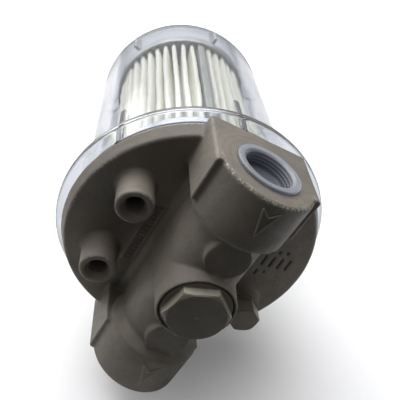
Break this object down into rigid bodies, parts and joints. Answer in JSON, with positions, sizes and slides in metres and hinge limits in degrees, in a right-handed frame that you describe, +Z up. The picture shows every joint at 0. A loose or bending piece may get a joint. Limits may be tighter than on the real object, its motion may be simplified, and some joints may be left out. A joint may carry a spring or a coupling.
{
  "type": "compressed air filter",
  "caption": "Compressed air filter: cast head with in-line threaded ports, bypass plug and vent screw, over a clear screw-on bowl holding a pleated element.",
  "frame": {"origin": "lowest point of the bowl, on the filter axis, at the centre of the bounding box's bottom face", "axes": "+Z up along the filter axis, from the bowl to the hexagon plug; +X in the flow direction, out of the outlet port; +Y towards the vent screw, away from the mounting bosses"},
  "size_m": [0.135, 0.135, 0.229],
  "materials": {
    "head_paint": "fine matt stoved paint over a sand casting",
    "plug_paint": "matt paint over machined steel",
    "seal_rubber": "moulded",
    "spring_steel": "drawn wire",
    "valve_brass": "turned",
    "washer_copper": "annealed",
    "cap_plastic": "translucent",
    "nipple_aluminium": "turned",
    "bowl_clear": "clear, polished",
    "media": "fibrous, matt",
    "cap_steel": "plain sheet",
    "clip_steel": "dark sheet"
  },
  "bodies": {
    "head": {"head_casting": "head_paint", "bypass_seat": "valve_brass", "outlet_nipple": "nipple_aluminium", "bowl_o_ring": "seal_rubber"},
    "plug_seal": {"bypass_plug_seal": "seal_rubber"},
    "plug": {"bypass_plug": "plug_paint"},
    "poppet": {"bypass_poppet": "valve_brass", "bypass_spring": "spring_steel"},
    "vent_washer": {"vent_washer": "washer_copper"},
    "vent_screw": {"vent_screw": "plug_paint"},
    "inlet_cap": {"inlet_cap": "cap_plastic"},
    "outlet_cap": {"outlet_cap": "cap_plastic"},
    "element": {"element_grommet": "seal_rubber", "element_top_cap": "cap_steel", "element_bottom_cap": "cap_steel", "pleated_media": "media", "core_tube": "cap_steel", "seam_clip": "clip_steel"},
    "bowl_spring": {"hold_down_spring": "spring_steel"},
    "spring_plate": {"spring_plate": "cap_steel"},
    "bowl": {"bowl": "bowl_clear"}
  },
  "joints": [
    {"name": "plug_rise", "type": "slide", "parent": "head", "child": "plug_seal", "axis": [0, 0, 1], "range_m": [0, 0.00901]},
    {"name": "plug_turn", "type": "hinge", "parent": "plug_seal", "child": "plug", "pos_m": [0, 0, 0.218], "axis": [0, 0, 1], "range_deg": [0, 2160]},
    {"name": "bypass_lift", "type": "slide", "parent": "plug_seal", "child": "poppet", "axis": [0, 0, 1], "range_m": [0, 0.0035], "stiffness_N_per_m": 150, "springref_m": -0.004, "deforming": ["bypass_spring"]},
    {"name": "vent_rise", "type": "slide", "parent": "head", "child": "vent_washer", "axis": [0, 0, 1], "range_m": [0, 0.00851]},
    {"name": "vent_turn", "type": "hinge", "parent": "vent_washer", "child": "vent_screw", "pos_m": [0.0214, 0.0414, 0.187], "axis": [0, 0, 1], "range_deg": [0, 3060]},
    {"name": "inlet_cap_pull", "type": "slide", "parent": "head", "child": "inlet_cap", "axis": [-1, 0, 0], "range_m": [0, 0.06]},
    {"name": "outlet_cap_pull", "type": "slide", "parent": "head", "child": "outlet_cap", "axis": [1, 0, 0], "range_m": [0, 0.06]},
    {"name": "element_pull", "type": "slide", "parent": "head", "child": "element", "axis": [0, 0, -1], "range_m": [0, 0.02401]},
    {"name": "bowl_drop", "type": "slide", "parent": "head", "child": "bowl_spring", "axis": [0, 0, -1], "range_m": [0, 0.2]},
    {"name": "bowl_travel", "type": "slide", "parent": "bowl_spring", "child": "spring_plate", "axis": [0, 0, -1], "range_m": [0, 0.01401], "deforming": ["hold_down_spring"]},
    {"name": "bowl_turn", "type": "hinge", "parent": "spring_plate", "child": "bowl", "pos_m": [0, 0, 0.165], "axis": [0, 0, -1], "range_deg": [0, 1260]}
  ],
  "couplings": [
    {"joint": "plug_rise", "follows": "plug_turn", "m_per_rad": 0.00023873},
    {"joint": "vent_rise", "follows": "vent_turn", "m_per_rad": 0.00015915},
    {"joint": "bowl_travel", "follows": "bowl_turn", "m_per_rad": 0.00063662},
    {"joint": "element_pull", "follows": "bowl_drop", "ratio": 0.12}
  ]
}
